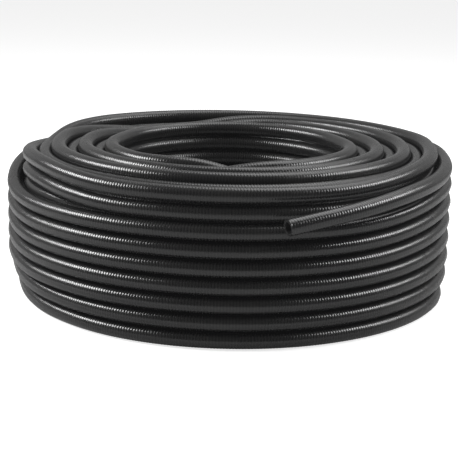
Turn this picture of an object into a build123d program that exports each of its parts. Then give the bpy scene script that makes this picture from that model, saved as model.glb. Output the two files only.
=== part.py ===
"""A coil of ribbed garden soaker hose, wound in eight nested wraps, standing on its lowest row.

The whole coil is one length of hose. It starts in a short tail inside the eye, falls row by row down
the first wrap, steps out under the coil, rises up the second wrap, steps out over the top, and so on.
Every turn lies level for most of its way and climbs or drops by one row in a short sector, the jog.
Where the turns of two neighbouring wraps lie level they nest in each other's grooves, and where either
of them jogs they ride over each other. The outermost wrap stops short of the top, and the hose leaves it
as the free end, which crosses the front of the coil to a bare cut mouth.

Angles round the coil are in degrees, clockwise seen from above: 0 is the left side (-X), 90 the back,
180 the right side and 270 the front. Millimetres, +Z up, origin on the floor under the coil's middle.
"""

from build123d import *
import os
from math import cos, pi, radians, sin, sqrt, tan

os.makedirs("parts", exist_ok=True)

# the hose
HOSE_DIAMETER = 16.0
BORE_DIAMETER = 11.0

# the winding
EYE_RADIUS = 122.0  # of the opening through the coil, where the wraps nest
WRAPS = 8
ROWS = 9  # turns of a full wrap, one above the other
OUTER_ROWS = 7  # turns of the outermost wrap
ROW_GAP = 0.9  # between the turns of one wrap
NEST_GAP = 0.2  # between the turns of neighbouring wraps
STATION = 15  # degrees from one point of the route to the next

# where the turns jog by a row, as (first, last) angle
FALL_JOG = (15, 75)  # wraps that are wound from the top down
FIRST_JOG = (240, 300)  # the innermost of them
RISE_JOG = (105, 165)  # wraps that are wound from the bottom up
OUTER_JOG = (330, 390)  # the two outermost wraps
# where a wrap steps out to the next one
TOP_STEP = 75
LAST_TOP_STEP = 15
BOTTOM_STEP = 165
STEP_SPAN = 30
SWELL_LEAD = 20  # degrees over which the wraps spread before a jog

# how far the lowest rows are tucked in, and how many rows that takes
TUCK = 8.0
TUCK_ROWS = 2.4

# the outermost wrap's rows stand further apart at the right
STRETCH = 0.12
STRETCHED = (165, 195)
STRETCH_LEAD = 45
# its last turn climbs once more, into the groove between the two turns that lean out over it
LAST_CLIMB = 0.9
CLIMB_SPAN = 75

# the two top turns of the seventh wrap, which lean out over the outermost wrap at the front
LEANING_WRAP = 6
LEAN = 12.7  # outwards
LEAN_START, LEAN_FULL, LEAN_EASE, LEAN_END = 195, 240, 300, 345
SETTLE = 0.05  # how far its top turn settles on the one below, in rows
SETTLED = (60, 150)

# the tail inside the eye and the free end at the front: angle, distance outwards, row level
TAIL_END = (225, -18.0, 6.1)
TAIL = [(240, -18.0, 6.8), (255, -18.0, 7.45), (270, -16.8, 8.1), (285, -12.0, 8.5), (300, -4.5, 8.5)]
FREE_END = [
    (180, -1.0, 7.85), (195, 1.0, 7.9), (210, 7.0, 7.85), (225, 14.5, 7.7), (237, 18.2, 7.48), (248, 22.0, 7.2)
]
MOUTH = (258.3, 29.6, 6.85)

# worked out
ROW_PITCH = HOSE_DIAMETER + ROW_GAP
RIDE = HOSE_DIAMETER + NEST_GAP  # from wrap to wrap where the turns ride over each other
NEST = sqrt(RIDE**2 - (ROW_PITCH / 2) ** 2)  # from wrap to wrap where they nest
FIRST_RADIUS = EYE_RADIUS + HOSE_DIAMETER / 2
HIGH_TOP = ROWS - 0.5  # the level of the top turn of a falling wrap, in rows
LOW_TOP = ROWS - 1  # and of a rising one
WIND_START = FIRST_JOG[1] + STATION
BACK = (FALL_JOG[0], RISE_JOG[1])  # where the inner wraps ride over each other
OUTER_RIDE = (OUTER_JOG[0], 360 + STRETCHED[1] + STRETCH_LEAD)  # and the two outermost


def ease(x):
    """From 0 to 1 with level ends."""
    x = min(max(x, 0), 1)
    return x * x * (3 - 2 * x)


def near(angle, sector, lead=SWELL_LEAD):
    """1 inside a sector, falling to 0 over the lead on both sides."""
    into = (angle - sector[0] + lead) % 360
    width = sector[1] - sector[0] + 2 * lead
    return ease(min(into, width - into) / lead)


def jog_sector(wrap):
    """Where a wrap's turns jog."""
    if wrap == 0:
        return FIRST_JOG
    if wrap >= WRAPS - 2:
        return OUTER_JOG
    return RISE_JOG if wrap % 2 else FALL_JOG


def spacing(wrap, angle):
    """How far the next wrap's turns lie outside this wrap's."""
    riding = [near(angle, jog_sector(wrap)), near(angle, jog_sector(wrap + 1))]
    if wrap < WRAPS - 2:
        riding.append(near(angle, BACK))
    if wrap == WRAPS - 2:
        riding.append(near(angle, OUTER_RIDE))
    return NEST + (RIDE - NEST) * max(riding)


def tuck(wrap, level):
    """How far a turn is tucked in. Turns that lie in one slanting line of the stack move alike."""
    height = level - (WRAPS - 1 - wrap) / 2
    return TUCK * (1 - ease(height / TUCK_ROWS))


def wrap_radius(wrap, angle):
    """The radius of a wrap's turns. Where the wraps spread, half of it goes into the eye."""
    spread = sum(spacing(w, angle) - NEST for w in range(WRAPS - 1))
    return FIRST_RADIUS - spread / 2 + sum(spacing(w, angle) for w in range(wrap))


def next_at(angle, place):
    """The next winding angle, from this one on, at a place round the coil."""
    return angle + (place - angle) % 360


def lean_out(wrap, level, angle):
    """How far a turn leans outwards, and how far it drops as it rolls over the row below."""
    if wrap != LEANING_WRAP or level < HIGH_TOP - 1.01:
        return 0, 0
    place = angle % 360
    share = ease((place - LEAN_START) / (LEAN_FULL - LEAN_START))
    share *= 1 - ease((place - LEAN_EASE) / (LEAN_END - LEAN_EASE))
    out = LEAN * share
    return out, ROW_PITCH - sqrt(ROW_PITCH**2 - out**2)


def place(angle, radius, height):
    """A point of the hose's middle line. The route's corners stand outside the curve through them."""
    corner = radius / cos(radians(STATION / 2))
    return Vector(-corner * cos(radians(angle)), corner * sin(radians(angle)), height + HOSE_DIAMETER / 2)


def step_middle(wrap, angle):
    """The point half-way along the step out to a wrap, rolling round that wrap's end turn."""
    inner, outer = wrap_radius(wrap - 1, angle), wrap_radius(wrap, angle)
    roll = sqrt((RIDE + ROW_GAP) ** 2 - ((outer - inner) / 2) ** 2)
    if wrap % 2:
        return place(angle, (inner + outer) / 2 - TUCK, ROW_PITCH - roll)
    return place(angle, (inner + outer) / 2, (HIGH_TOP - 1) * ROW_PITCH + roll)


def wind():
    """The route's points in each wrap, innermost first."""
    wraps = []
    start = WIND_START
    for wrap in range(WRAPS):
        falling = wrap % 2 == 0
        outermost = wrap == WRAPS - 1
        jog = jog_sector(wrap)
        jogs = OUTER_ROWS if outermost else ROWS - 1
        first_jog = next_at(start, jog[0])
        last_jog_end = first_jog + 360 * (jogs - 1) + jog[1] - jog[0]
        top_step = LAST_TOP_STEP if wrap == WRAPS - 3 else TOP_STEP
        end = next_at(last_jog_end, BOTTOM_STEP if falling or outermost else top_step)
        points = [step_middle(wrap, start - STEP_SPAN / 2)] if wrap else []
        for angle in range(start, end + 1, STATION):
            moved = sum(ease((angle - first_jog - 360 * k) / (jog[1] - jog[0])) for k in range(jogs))
            level = HIGH_TOP - moved if falling else moved
            if wrap == LEANING_WRAP and moved < 0.5:
                level -= SETTLE * near(angle, SETTLED)
            if outermost and angle < last_jog_end:
                level *= 1 + STRETCH * near(angle, STRETCHED, STRETCH_LEAD)
            elif outermost:
                level += LAST_CLIMB * ease((angle - last_jog_end) / CLIMB_SPAN)
            out, drop = lean_out(wrap, level, angle)
            radius = wrap_radius(wrap, angle) + out - tuck(wrap, level)
            points.append(place(angle, radius, level * ROW_PITCH - drop))
        wraps.append(points)
        start = end + STEP_SPAN
    return wraps


def loose(points, wrap):
    """The points of a loose stretch, from their angle, distance outside a wrap and level."""
    return [place(a, wrap_radius(wrap, a) + out, level * ROW_PITCH) for a, out, level in points]


def bend(before, corner, after, start, end):
    """The middle line round one corner, between two places on its runs, and the arc's radius."""
    into, away = corner - before, after - corner
    shorter = min(into.length, away.length)
    radius = 0.45 * shorter / tan(radians(into.get_angle(away) / 2))
    return FilletPolyline(start, corner, end, radius=radius).edges(), radius


def tube(route, first, last, section):
    """A section swept round the route's corners from first to last, and the tightest arc's radius.

    The middle line is straight runs joined by tangent arcs. It starts and ends half-way along a run,
    where the next length of hose meets it face to face, or at the route's own ends.
    """
    edges, tightest = [], []
    for i in range(first, last + 1):
        before, corner, after = route[i - 1 : i + 2]
        start = before if i == 1 else (before + corner) / 2
        end = after if i == len(route) - 2 else (corner + after) / 2
        bent, radius = bend(before, corner, after, start, end)
        edges += bent
        tightest.append(radius)
    path = Wire(edges)
    solid = sweep(Plane(origin=path @ 0, z_dir=path % 0) * section, path=path)
    return solid, path.length, min(tightest)


def report(name, solid, length, section, tightest):
    """What a stretch of hose measures."""
    share = solid.volume / (section.area * length)
    print(f"{name}: {length / 1000:.3f} m, tightest arc {tightest:.0f} mm, volume {share:.5f} of section x length")


def main():
    solid_section = Circle(HOSE_DIAMETER / 2)
    hollow_section = Circle(HOSE_DIAMETER / 2) - Circle(BORE_DIAMETER / 2)
    tail = loose(TAIL, 0)
    free_end = loose(FREE_END, WRAPS - 1)
    names = ["hose_inner_tail", *(f"hose_wrap_{n + 1}" for n in range(WRAPS)), "hose_free_end"]
    lengths = [tail, *wind(), free_end]
    route = loose([TAIL_END], 0) + sum(lengths, []) + loose([MOUTH], WRAPS - 1)
    first, total = 1, 0
    for name, points in zip(names, lengths):
        last = first + len(points) - 1
        section = hollow_section if points in (tail, free_end) else solid_section
        solid, length, tightest = tube(route, first, last, section)
        export_step(solid, f"parts/{name}.step")
        report(name, solid, length, section, tightest)
        first = last + 1
        total += length
    print(f"whole hose: {total / 1000:.2f} m")


main()
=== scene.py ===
"""A coil of finely ribbed black soaker hose: its ribs, its cut ends and its finish.

The hose is one length. Each wrap of the coil, the tail inside the eye and the free end at the front
is a cord of its own, close to the route of its solid. Metres, +Z up. Angles round the coil are in
degrees, clockwise seen from above: 0 is the left side (-X), 90 the back, 180 the right, 270 the front.
"""

from math import cos, radians, sin, sqrt, tau

import bpy
import numpy as np
from mathutils import Matrix, Vector

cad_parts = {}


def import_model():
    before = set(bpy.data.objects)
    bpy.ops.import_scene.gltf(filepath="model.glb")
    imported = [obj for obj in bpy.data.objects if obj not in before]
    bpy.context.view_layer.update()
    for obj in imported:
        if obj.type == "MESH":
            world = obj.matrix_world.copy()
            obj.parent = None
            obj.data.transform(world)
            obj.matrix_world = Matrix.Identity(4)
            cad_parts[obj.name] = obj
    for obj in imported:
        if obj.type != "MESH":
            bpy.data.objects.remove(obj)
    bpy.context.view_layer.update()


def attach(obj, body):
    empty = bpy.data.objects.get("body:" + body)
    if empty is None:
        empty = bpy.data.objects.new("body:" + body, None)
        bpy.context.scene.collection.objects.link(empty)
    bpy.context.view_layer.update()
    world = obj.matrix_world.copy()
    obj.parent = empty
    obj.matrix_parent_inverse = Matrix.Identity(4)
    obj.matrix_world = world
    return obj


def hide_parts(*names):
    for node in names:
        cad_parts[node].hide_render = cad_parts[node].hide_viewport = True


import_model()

MM = 0.001

# ---- the hose and its winding, which lies in a few places a little off the solids ----
# the hose
HOSE_DIAMETER = 16.0 * MM
BORE_DIAMETER = 11.0 * MM

# the winding
EYE_RADIUS = 122.0 * MM  # of the opening through the coil, where the wraps nest
WRAPS = 8
ROWS = 9  # turns of a full wrap, one above the other
OUTER_ROWS = 7  # turns of the outermost wrap
ROW_GAP = 0.9 * MM  # between the turns of one wrap
NEST_GAP = 0.2 * MM  # between the turns of neighbouring wraps
STATION = 15  # degrees from one point of the route to the next

# where the turns jog by a row, as (first, last) angle
FALL_JOG = (15, 75)  # wraps that are wound from the top down
FIRST_JOG = (255, 300)  # the innermost of them
RISE_JOG = (105, 165)  # wraps that are wound from the bottom up
OUTER_JOG = (330, 390)  # the two outermost wraps
# where a wrap steps out to the next one
TOP_STEP = 75
LAST_TOP_STEP = 15
BOTTOM_STEP = 165
STEP_SPAN = 30
SWELL_LEAD = 20  # degrees over which the wraps spread before a jog

# how far the lowest rows are tucked in, and how many rows that takes
TUCK = 11.0 * MM
TUCK_ROWS = 2.4
TUCK_LEAST = 0.2  # away from the left side, where they are tucked in most

# the outermost wrap's rows stand further apart, most of all at the right
OUTER_STRETCH = 0.025
STRETCH = 0.11
STRETCHED = (165, 195)
STRETCH_LEAD = 45
# its last turn climbs once more towards the free end
LAST_CLIMB = 0.9
CLIMB_SPAN = 75

# the two top turns of the seventh wrap, which lean out over the outermost wrap at the front
LEANING_WRAP = 6
LEAN = 12.7 * MM  # outwards
LEAN_START, LEAN_FULL, LEAN_EASE, LEAN_END = 195, 240, 300, 345
SETTLE = 0.05  # how far its top turn settles on the one below, in rows
SETTLED = (30, 150)

# the tail inside the eye and the free end at the front: angle, millimetres outwards, row level
TAIL_END = (225, -18.0, 6.1)
TAIL = [(240, -18.0, 6.8), (255, -18.0, 7.4), (270, -18.0, 7.95), (285, -13.9, 8.42), (300, -4.8, 8.5)]
FREE_END = [
    (180, -1.2, 7.85), (195, 0.0, 7.9), (210, 5.5, 7.85),
    (225, 13.2, 7.8), (237, 17.4, 7.5), (248, 22.0, 7.2)
]
MOUTH = (258.3, 28.44, 6.85)

# worked out
ROW_PITCH = HOSE_DIAMETER + ROW_GAP
RIDE = HOSE_DIAMETER + NEST_GAP  # from wrap to wrap where the turns ride over each other
NEST = sqrt(RIDE**2 - (ROW_PITCH / 2) ** 2)  # from wrap to wrap where they nest
FIRST_RADIUS = EYE_RADIUS + HOSE_DIAMETER / 2
HIGH_TOP = ROWS - 0.5  # the level of the top turn of a falling wrap, in rows
TOP_TURNS = HIGH_TOP - 1.01  # above this level are its two top turns
WIND_START = FIRST_JOG[1] + STATION
BACK = (FALL_JOG[0], RISE_JOG[1])  # where the inner wraps ride over each other
COIL_HEIGHT = HIGH_TOP * ROW_PITCH + HOSE_DIAMETER

# ---- the hose's surface ----
RIB_PITCH = 2.9 * MM
RIB_DEPTH = 0.26 * MM
AROUND = 12  # faces round the hose
AROUND_LOOSE = 24  # round its two loose ends, whose cuts show
CURVE_STEPS = 16  # from one point of the route to the next, before it is cut into rib pitches

# ---- the finish ----
SKIN = (0.018, 0.018, 0.0185)
WORN_SKIN = (0.027, 0.0265, 0.025)
# painted shade: the grooves between the ribs are coloured darker than the skin
PAINTED_GROOVE_SHADE = (0.008, 0.008, 0.008)
SKIN_ROUGHNESS, WORN_ROUGHNESS = 0.20, 0.30
PAINTED_GLOW = (0.0045, 0.0045, 0.0047)  # painted glow: a faint grey that the hose emits, which keeps the gaps between the turns off full black
PATCH_SCALE = 14  # broad patches per metre
GRAIN_SCALE = 900
NOISE_SPREAD = (0.3, 0.7)  # the part of the noise that is spread from 0 to 1
GRAIN_HEIGHT = 0.3 * MM
GRAIN_STRENGTH = 0.12

# ---- the view ----
CAMERA_DISTANCE = 1.416
CAMERA_ELEVATION = 13.6
CAMERA_LENS = 102.3
CAMERA_ROLL = 1.2
AIM_DROP = 0.0191  # how far below the coil's middle the camera aims
CAMERA_REACH = 100

# ---- the studio ----
# name, azimuth (0 in front of the coil, 90 on the right), elevation, distance, size, power in watts
LAMPS = [
    ("left softbox", -88, 36, 1.8, (1.0, 0.5), 36),
    ("right softbox", 88, 36, 1.9, (1.0, 0.5), 22),
    ("overhead softbox", 135, 68, 1.9, (1.6, 1.2), 18)
]
ROOM_FRONT, ROOM_BACK = (-0.4, 0.12), (0.9, 0.6)  # where the room starts to brighten, and ends: (y, strength)
FLOOR_REACH = 20
FLOOR_GREY = 0.5
FLOOR_SEEN, FLOOR_MIRRORED = 0.75, 0.1  # what the floor shines with, to the camera and in the gloss


def camera():
    """The camera, in front of the coil and a little above it, turned slightly on its axis."""
    middle = Vector((0, 0, COIL_HEIGHT / 2))
    up = radians(CAMERA_ELEVATION)
    back = Vector((0, -cos(up), sin(up)))
    data = bpy.data.cameras.new("camera")
    data.lens = CAMERA_LENS
    data.clip_end = CAMERA_REACH
    view = bpy.data.objects.new("camera", data)
    bpy.context.scene.collection.objects.link(view)
    aim = middle - Vector((0, sin(up), cos(up))) * AIM_DROP
    turn = (-back).to_track_quat("-Z", "Y").to_matrix().to_4x4()
    roll = Matrix.Rotation(radians(CAMERA_ROLL), 4, "Z")
    view.matrix_world = Matrix.Translation(aim + back * CAMERA_DISTANCE) @ turn @ roll
    bpy.context.scene.camera = view


# ---- the route ----

def ease(x):
    """From 0 to 1 with level ends."""
    x = min(max(x, 0), 1)
    return x * x * (3 - 2 * x)


def near(angle, sector, lead=SWELL_LEAD):
    """1 inside a sector, falling to 0 over the lead on both sides."""
    into = (angle - sector[0] + lead) % 360
    width = sector[1] - sector[0] + 2 * lead
    return ease(min(into, width - into) / lead)


def jog_sector(wrap):
    """Where a wrap's turns jog."""
    if wrap == 0:
        return FIRST_JOG
    if wrap >= WRAPS - 2:
        return OUTER_JOG
    return RISE_JOG if wrap % 2 else FALL_JOG


def spacing(wrap, angle):
    """How far the next wrap's turns lie outside this wrap's."""
    if wrap == WRAPS - 2:
        return RIDE
    riding = max(near(angle, sector) for sector in (jog_sector(wrap), jog_sector(wrap + 1), BACK))
    return NEST + (RIDE - NEST) * riding


def tuck(wrap, level, angle):
    """How far a turn is tucked in. Turns that lie in one slanting line of the stack move alike."""
    height = level - (WRAPS - 1 - wrap) / 2
    share = TUCK_LEAST + (1 - TUCK_LEAST) * max(cos(radians(angle)), 0) ** 2
    return TUCK * share * (1 - ease(height / TUCK_ROWS))


def wrap_radius(wrap, angle):
    """The radius of a wrap's turns. Where the wraps spread, half of it goes into the eye."""
    spread = sum(spacing(w, angle) - NEST for w in range(WRAPS - 1))
    return FIRST_RADIUS - spread / 2 + sum(spacing(w, angle) for w in range(wrap))


def next_at(angle, place):
    """The next winding angle, from this one on, at a place round the coil."""
    return angle + (place - angle) % 360


def lean_out(wrap, level, angle):
    """How far a turn leans outwards, and how far it drops as it rolls over the row below."""
    if wrap != LEANING_WRAP or level < TOP_TURNS:
        return 0, 0
    place = angle % 360
    share = ease((place - LEAN_START) / (LEAN_FULL - LEAN_START))
    share *= 1 - ease((place - LEAN_EASE) / (LEAN_END - LEAN_EASE))
    out = LEAN * share
    return out, ROW_PITCH - sqrt(ROW_PITCH**2 - out**2)


def place(angle, radius, height):
    """A point of the hose's middle line. The route's corners stand outside the curve through them."""
    corner = radius / cos(radians(STATION / 2))
    return Vector((-corner * cos(radians(angle)), corner * sin(radians(angle)), height + HOSE_DIAMETER / 2))


def step_middle(wrap, angle):
    """The point half-way along the step out to a wrap, rolling round that wrap's end turn."""
    inner, outer = wrap_radius(wrap - 1, angle), wrap_radius(wrap, angle)
    roll = sqrt((RIDE + ROW_GAP) ** 2 - ((outer - inner) / 2) ** 2)
    if wrap % 2:
        return place(angle, (inner + outer) / 2 - tuck(wrap, 0, angle), ROW_PITCH - roll)
    return place(angle, (inner + outer) / 2, (HIGH_TOP - 1) * ROW_PITCH + roll)


def wind():
    """The route's points in each wrap, innermost first."""
    wraps = []
    start = WIND_START
    for wrap in range(WRAPS):
        falling = wrap % 2 == 0
        outermost = wrap == WRAPS - 1
        jog = jog_sector(wrap)
        jogs = OUTER_ROWS if outermost else ROWS - 1
        first_jog = next_at(start, jog[0])
        last_jog_end = first_jog + 360 * (jogs - 1) + jog[1] - jog[0]
        top_step = LAST_TOP_STEP if wrap == WRAPS - 3 else TOP_STEP
        end = next_at(last_jog_end, BOTTOM_STEP if falling or outermost else top_step)
        points = [step_middle(wrap, start - STEP_SPAN / 2)] if wrap else []
        for angle in range(start, end + 1, STATION):
            moved = sum(ease((angle - first_jog - 360 * k) / (jog[1] - jog[0])) for k in range(jogs))
            level = HIGH_TOP - moved if falling else moved
            if wrap == LEANING_WRAP and moved < 0.5:
                level -= SETTLE * near(angle, SETTLED)
            out, drop = lean_out(wrap, level, angle)
            if outermost:
                last_part = ease((angle - last_jog_end) / CLIMB_SPAN)
                right = near(angle, STRETCHED, STRETCH_LEAD) * (1 - last_part)
                level += level * (OUTER_STRETCH * (1 - last_part) + STRETCH * right) + LAST_CLIMB * last_part
            radius = wrap_radius(wrap, angle) + out - tuck(wrap, level, angle)
            points.append(place(angle, radius, level * ROW_PITCH - drop))
        wraps.append(points)
        start = end + STEP_SPAN
    return wraps


def loose(points, wrap):
    """The points of a loose stretch, from their angle, distance outside a wrap in mm and level."""
    return [place(a, wrap_radius(wrap, a) + out * MM, level * ROW_PITCH) for a, out, level in points]


# ---- the ribbed hose ----

def smooth_line(points):
    """Points along the smooth curve that the route's points steer."""
    curve = bpy.data.curves.new("route", "CURVE")
    curve.dimensions = "3D"
    spline = curve.splines.new("NURBS")
    spline.points.add(len(points) - 1)
    for steer, point in zip(spline.points, points):
        steer.co = (*point, 1)
    spline.order_u = 3
    spline.use_endpoint_u = True
    spline.resolution_u = CURVE_STEPS
    holder = bpy.data.objects.new("route", curve)
    bpy.context.scene.collection.objects.link(holder)
    seen = holder.evaluated_get(bpy.context.evaluated_depsgraph_get())
    mesh = bpy.data.meshes.new_from_object(seen)
    line = np.empty(len(mesh.vertices) * 3)
    mesh.vertices.foreach_get("co", line)
    bpy.data.objects.remove(holder)
    bpy.data.curves.remove(curve)
    bpy.data.meshes.remove(mesh)
    return line.reshape(-1, 3)


def even_steps(line, step):
    """The line in equal steps, an even number of them, and its length."""
    run = np.concatenate([[0], np.cumsum(np.linalg.norm(np.diff(line, axis=0), axis=1))])
    at = np.linspace(0, run[-1], 2 * round(run[-1] / step / 2) + 1)
    return np.column_stack([np.interp(at, run, line[:, k]) for k in range(3)]), run[-1]


def rings(line, radii, around):
    """A ring of points round each point of the line, square to it."""
    along = np.gradient(line, axis=0)
    side = np.cross(along, (0, 0, 1))
    over = np.cross(side, along)
    side /= np.linalg.norm(side, axis=1)[:, None]
    over /= np.linalg.norm(over, axis=1)[:, None]
    turn = np.arange(around) * tau / around
    out = side[:, None] * np.cos(turn)[None, :, None] + over[:, None] * np.sin(turn)[None, :, None]
    return line[:, None] + out * radii[:, None, None]


def tube_faces(count, around, closed):
    """The faces between one ring and the next, and the two end caps or the join of last to first."""
    points = count * around
    first = np.arange(count if closed else count - 1)[:, None] * around
    here = np.arange(around)[None, :]
    there = (here + 1) % around
    corners = [first + here, first + around + here, first + around + there, first + there]
    faces = (np.stack(corners, -1).reshape(-1, 4) % points).tolist()
    if not closed:
        faces += [list(range(around)), list(range(points - 1, points - around - 1, -1))]
    return faces


def ribbed_hose(name, points, around, hollow):
    """A length of hose with a rib to each pitch and a sharp groove between. Hollow, its bore runs through."""
    line, length = even_steps(smooth_line(points), RIB_PITCH / 2)
    groove = np.arange(len(line)) % 2
    sharp = groove.copy()
    sharp[[0, -1]] = 1
    skin = rings(line, HOSE_DIAMETER / 2 - RIB_DEPTH * groove, around)
    if hollow:
        skin = np.concatenate([skin, rings(line, np.full(len(line), BORE_DIAMETER / 2), around)[::-1]])
        groove = np.concatenate([groove, np.zeros_like(groove)])
        sharp = np.concatenate([sharp, [1], np.zeros(len(line) - 2, int), [1]])
    mesh = bpy.data.meshes.new(name)
    mesh.from_pydata(skin.reshape(-1, 3).tolist(), [], tube_faces(len(skin), around, hollow))
    mesh.shade_smooth()
    ends = np.empty(len(mesh.edges) * 2, int)
    mesh.edges.foreach_get("vertices", ends)
    ring = ends.reshape(-1, 2) // around
    edge = (ring[:, 0] == ring[:, 1]) & (sharp[ring[:, 0]] == 1)
    mesh.attributes.new("sharp_edge", "BOOLEAN", "EDGE").data.foreach_set("value", edge)
    depth = np.repeat(groove, around).astype(np.float32)
    mesh.attributes.new("groove", "FLOAT", "POINT").data.foreach_set("value", depth)
    piece = bpy.data.objects.new(name, mesh)
    bpy.context.scene.collection.objects.link(piece)
    return piece, line, length


def whole_hose(finish):
    """Every length of the hose, each a cord that stands for its solid."""
    tail, free_end = loose(TAIL, 0), loose(FREE_END, WRAPS - 1)
    lengths = [tail, *wind(), free_end]
    names = ["inner_tail", *(f"wrap_{n + 1}" for n in range(WRAPS)), "free_end"]
    starts = [loose([TAIL_END], 0)[0], *((a[-1] + b[0]) / 2 for a, b in zip(lengths, lengths[1:]))]
    ends = [*starts[1:], loose([MOUTH], WRAPS - 1)[0]]
    for name, start, points, end in zip(names, starts, lengths, ends):
        loose_end = points is tail or points is free_end
        around = AROUND_LOOSE if loose_end else AROUND
        piece, line, length = ribbed_hose(f"ribbed_{name}", [start, *points, end], around, loose_end)
        piece.data.materials.append(finish)
        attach(piece, "root")
        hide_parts(f"hose_{name}")


# ---- the material ----

def node(tree, kind, place=(0, 0), **settings):
    """A shader node with its settings."""
    made = tree.nodes.new(kind)
    made.location = place
    for key, value in settings.items():
        setattr(made, key, value)
    return made


def skin_wear():
    """A node group: broad patches and a fine grain, both from 0 to 1, over the piece's own space."""
    group = bpy.data.node_groups.new("skin wear", "ShaderNodeTree")
    group.interface.new_socket("Patch scale", in_out="INPUT", socket_type="NodeSocketFloat")
    group.interface.new_socket("Grain scale", in_out="INPUT", socket_type="NodeSocketFloat")
    group.interface.new_socket("Patches", in_out="OUTPUT", socket_type="NodeSocketFloat")
    group.interface.new_socket("Grain", in_out="OUTPUT", socket_type="NodeSocketFloat")
    entry = node(group, "NodeGroupInput", (-600, 0))
    leave = node(group, "NodeGroupOutput", (400, 0))
    space = node(group, "ShaderNodeTexCoord", (-600, 300))
    for row, name in enumerate(("Patches", "Grain")):
        noise = node(group, "ShaderNodeTexNoise", (-300, -250 * row))
        noise.inputs["Detail"].default_value = 4
        group.links.new(space.outputs["Object"], noise.inputs["Vector"])
        group.links.new(entry.outputs[row], noise.inputs["Scale"])
        spread = node(group, "ShaderNodeMapRange", (50, -250 * row))
        spread.inputs["From Min"].default_value, spread.inputs["From Max"].default_value = NOISE_SPREAD
        group.links.new(noise.outputs["Fac"], spread.inputs["Value"])
        group.links.new(spread.outputs["Result"], leave.inputs[name])
    return group


def mix_colour(tree, factor, first, second, place):
    """A colour between two, each a colour or another node's output."""
    mixed = node(tree, "ShaderNodeMix", place, data_type="RGBA")
    tree.links.new(factor, mixed.inputs["Factor"])
    for socket, colour in ((mixed.inputs[6], first), (mixed.inputs[7], second)):
        if isinstance(colour, tuple):
            socket.default_value = (*colour, 1)
        else:
            tree.links.new(colour, socket)
    return mixed.outputs[2]


def hose_finish(wear):
    """Satin black polymer with painted shade in the grooves, slightly paler and duller worn patches, and a
    faint painted glow.
    """
    material = bpy.data.materials.new("satin black hose")
    material.use_nodes = True
    tree = material.node_tree
    shader = tree.nodes["Principled BSDF"]
    worn = node(tree, "ShaderNodeGroup", (-900, 0), node_tree=wear)
    worn.inputs["Patch scale"].default_value = PATCH_SCALE
    worn.inputs["Grain scale"].default_value = GRAIN_SCALE
    groove = node(tree, "ShaderNodeAttribute", (-900, 300), attribute_name="groove")
    skin = mix_colour(tree, worn.outputs["Patches"], SKIN, WORN_SKIN, (-600, 100))
    # painted shade: the groove rings get the darker colour
    colour = mix_colour(tree, groove.outputs["Fac"], skin, PAINTED_GROOVE_SHADE, (-350, 200))
    tree.links.new(colour, shader.inputs["Base Color"])
    rough = node(tree, "ShaderNodeMapRange", (-350, -100))
    rough.inputs["To Min"].default_value = SKIN_ROUGHNESS
    rough.inputs["To Max"].default_value = WORN_ROUGHNESS
    tree.links.new(worn.outputs["Patches"], rough.inputs["Value"])
    tree.links.new(rough.outputs["Result"], shader.inputs["Roughness"])
    # painted glow: the hose emits a faint grey of its own
    shader.inputs["Emission Color"].default_value = (*PAINTED_GLOW, 1)
    shader.inputs["Emission Strength"].default_value = 1
    bump = node(tree, "ShaderNodeBump", (-350, -350))
    bump.inputs["Strength"].default_value = GRAIN_STRENGTH
    bump.inputs["Distance"].default_value = GRAIN_HEIGHT
    tree.links.new(worn.outputs["Grain"], bump.inputs["Height"])
    tree.links.new(bump.outputs["Normal"], shader.inputs["Normal"])
    return material


# ---- lamps, floor and room ----

def soft_lamp(name, azimuth, elevation, distance, size, power):
    """A soft lamp that faces the coil."""
    data = bpy.data.lights.new(name, "AREA")
    data.shape = "RECTANGLE"
    data.size, data.size_y = size
    data.energy = power
    lamp = bpy.data.objects.new(name, data)
    bpy.context.scene.collection.objects.link(lamp)
    turn, up = radians(azimuth), radians(elevation)
    towards = Vector((sin(turn) * cos(up), -cos(turn) * cos(up), sin(up)))
    middle = Vector((0, 0, COIL_HEIGHT / 2))
    facing = towards.to_track_quat("Z", "Y").to_matrix().to_4x4()
    lamp.matrix_world = Matrix.Translation(middle + towards * distance) @ facing


def floor():
    """A white floor that keeps the coil's shadow."""
    mesh = bpy.data.meshes.new("floor")
    corners = [(x * FLOOR_REACH, y * FLOOR_REACH, 0) for x, y in ((-1, -1), (1, -1), (1, 1), (-1, 1))]
    mesh.from_pydata(corners, [], [(0, 1, 2, 3)])
    ground = bpy.data.objects.new("floor", mesh)
    bpy.context.scene.collection.objects.link(ground)
    material = bpy.data.materials.new("white floor")
    material.use_nodes = True
    tree = material.node_tree
    shader = tree.nodes["Principled BSDF"]
    shader.inputs["Base Color"].default_value = (FLOOR_GREY, FLOOR_GREY, FLOOR_GREY, 1)
    shader.inputs["Roughness"].default_value = 0.9
    shader.inputs["Specular IOR Level"].default_value = 0.1
    shader.inputs["Emission Color"].default_value = (1, 1, 1, 1)
    ray = node(tree, "ShaderNodeLightPath", (-500, 0))
    shine = scaled_rays(tree, ray, FLOOR_SEEN, FLOOR_MIRRORED)
    tree.links.new(shine, shader.inputs["Emission Strength"])
    mesh.materials.append(material)


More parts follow.
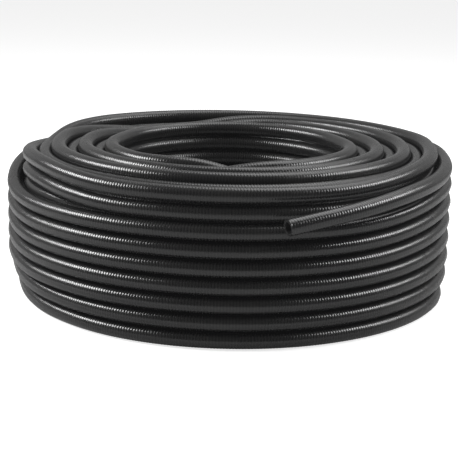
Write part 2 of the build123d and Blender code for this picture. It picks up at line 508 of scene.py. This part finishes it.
def scaled_rays(tree, ray, seen, mirrored):
    """A strength for what the camera sees and one for what gloss mirrors."""
    camera_part = node(tree, "ShaderNodeMath", (-300, 100), operation="MULTIPLY")
    camera_part.inputs[1].default_value = seen
    tree.links.new(ray.outputs["Is Camera Ray"], camera_part.inputs[0])
    gloss_part = node(tree, "ShaderNodeMath", (-300, -100), operation="MULTIPLY_ADD")
    gloss_part.inputs[1].default_value = mirrored
    tree.links.new(ray.outputs["Is Glossy Ray"], gloss_part.inputs[0])
    tree.links.new(camera_part.outputs[0], gloss_part.inputs[2])
    return gloss_part.outputs[0]


def world():
    """White behind the coil for the camera, and otherwise a room that is bright behind and dim in front."""
    room = bpy.data.worlds.new("studio")
    bpy.context.scene.world = room
    room.use_nodes = True
    tree = room.node_tree
    tree.nodes.clear()
    space = node(tree, "ShaderNodeTexCoord", (-900, 0))
    parts = node(tree, "ShaderNodeSeparateXYZ", (-700, 0))
    tree.links.new(space.outputs["Generated"], parts.inputs[0])
    depth = node(tree, "ShaderNodeMapRange", (-500, 0))
    depth.inputs["From Min"].default_value, depth.inputs["To Min"].default_value = ROOM_FRONT
    depth.inputs["From Max"].default_value, depth.inputs["To Max"].default_value = ROOM_BACK
    tree.links.new(parts.outputs["Y"], depth.inputs["Value"])
    dim = node(tree, "ShaderNodeBackground", (-250, 100))
    tree.links.new(depth.outputs["Result"], dim.inputs["Strength"])
    white = node(tree, "ShaderNodeBackground", (-250, -100))
    ray = node(tree, "ShaderNodeLightPath", (-250, 400))
    mix = node(tree, "ShaderNodeMixShader", (0, 0))
    tree.links.new(ray.outputs["Is Camera Ray"], mix.inputs[0])
    tree.links.new(dim.outputs[0], mix.inputs[1])
    tree.links.new(white.outputs[0], mix.inputs[2])
    tree.links.new(mix.outputs[0], node(tree, "ShaderNodeOutputWorld", (250, 0)).inputs[0])


def studio():
    """The lamps, the room and the floor."""
    for lamp in LAMPS:
        soft_lamp(*lamp)
    bpy.context.scene.view_settings.view_transform = "Standard"
    world()
    floor()


camera()
whole_hose(hose_finish(skin_wear()))
studio()
